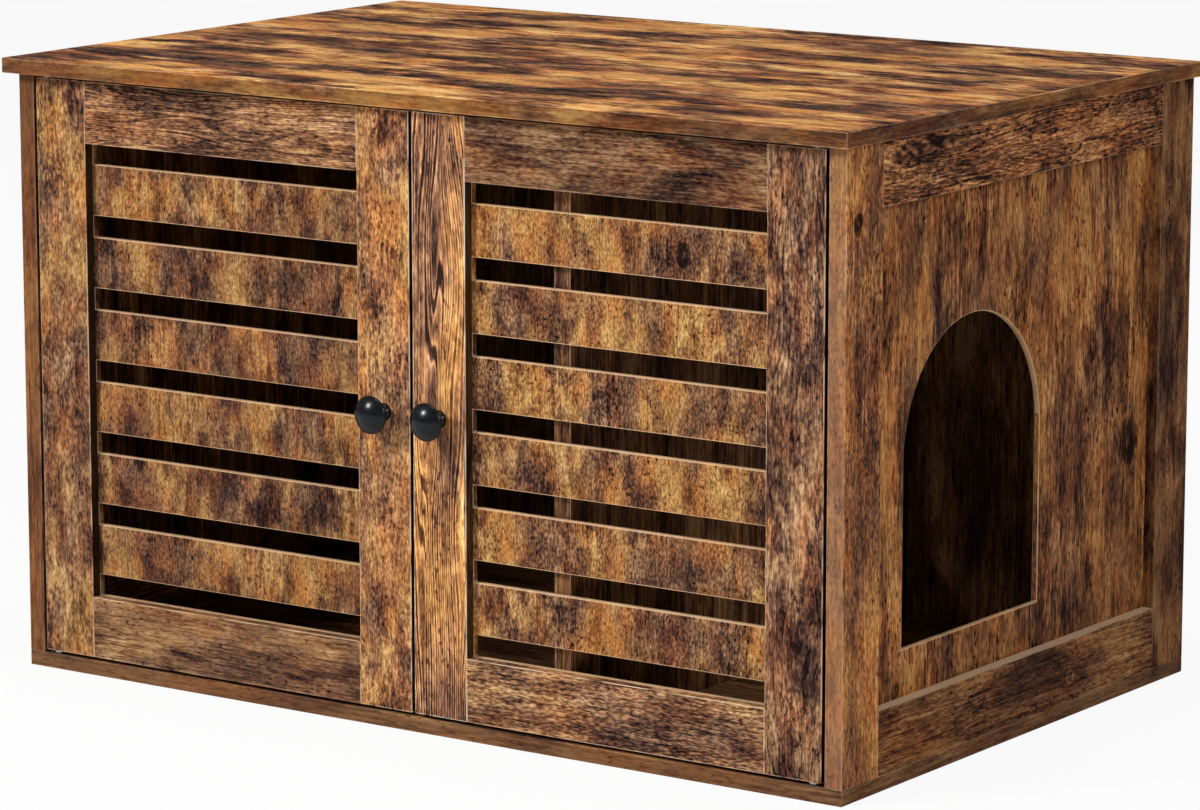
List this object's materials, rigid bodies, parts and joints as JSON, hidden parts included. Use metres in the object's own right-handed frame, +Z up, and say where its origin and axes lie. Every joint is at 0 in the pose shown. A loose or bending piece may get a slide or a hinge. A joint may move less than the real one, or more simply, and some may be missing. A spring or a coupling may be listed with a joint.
{
  "type": "cat litter box cabinet",
  "caption": "Low wooden cabinet that hides a cat litter box, with two slatted doors on pivot pins, an arched cat entrance in one side and a partition with an arched doorway.",
  "frame": {"origin": "centre of the footprint of the top board's outline, on the floor", "axes": "+X to the right seen from the doors, +Y to the back, +Z up; the doors face -Y"},
  "size_m": [0.8, 0.543, 0.5],
  "materials": {
    "laminate_top": "rustic brown wood-print laminate, satin, grain along the length",
    "laminate_board": "rustic brown wood-print laminate on board, satin",
    "laminate_panel": "rustic brown wood-print laminate on thin board, upright grain, satin",
    "black_lacquer": "satin black lacquer",
    "zinc_steel": "zinc plated",
    "beech": "plain beech",
    "nylon": "dark brown nylon",
    "catch_plastic": "brown moulded plastic",
    "magnet_iron": "sintered magnet"
  },
  "bodies": {
    "root": {"top_board": "laminate_top", "base_board": "laminate_board", "back_board": "laminate_panel", "partition": "laminate_panel", "base_screws": "zinc_steel", "back_screws": "zinc_steel", "cam_locks": "zinc_steel", "cam_bolts": "zinc_steel", "back_dowels": "beech", "side_frame_dowels": "beech", "pivot_bushes": "nylon", "catch_housings": "catch_plastic", "catch_magnets": "magnet_iron", "catch_screws": "zinc_steel", "left_side_front_stile": "laminate_board", "left_side_rear_stile": "laminate_board", "left_side_top_rail": "laminate_board", "left_side_bottom_rail": "laminate_board", "left_side_panel": "laminate_panel", "right_side_front_stile": "laminate_board", "right_side_rear_stile": "laminate_board", "right_side_top_rail": "laminate_board", "right_side_bottom_rail": "laminate_board", "right_side_panel": "laminate_panel"},
    "left_door": {"left_door_hinge_stile": "laminate_board", "left_door_meeting_stile": "laminate_board", "left_door_top_rail": "laminate_board", "left_door_bottom_rail": "laminate_board", "left_door_slatted_panel": "laminate_panel", "left_door_dowels": "beech", "left_door_pivot_pins": "zinc_steel", "left_door_knob": "black_lacquer", "left_door_knob_screw": "zinc_steel", "left_door_strike_plate": "zinc_steel", "left_door_strike_screws": "zinc_steel"},
    "right_door": {"right_door_hinge_stile": "laminate_board", "right_door_meeting_stile": "laminate_board", "right_door_top_rail": "laminate_board", "right_door_bottom_rail": "laminate_board", "right_door_slatted_panel": "laminate_panel", "right_door_dowels": "beech", "right_door_pivot_pins": "zinc_steel", "right_door_knob": "black_lacquer", "right_door_knob_screw": "zinc_steel", "right_door_strike_plate": "zinc_steel", "right_door_strike_screws": "zinc_steel"}
  },
  "joints": [
    {"name": "left_door_pivot", "type": "hinge", "parent": "root", "child": "left_door", "pos_m": [-0.3655, -0.247, 0.25], "axis": [0, 0, -1], "range_deg": [0, 110]},
    {"name": "right_door_pivot", "type": "hinge", "parent": "root", "child": "right_door", "pos_m": [0.3655, -0.247, 0.25], "axis": [0, 0, 1], "range_deg": [0, 110]}
  ]
}
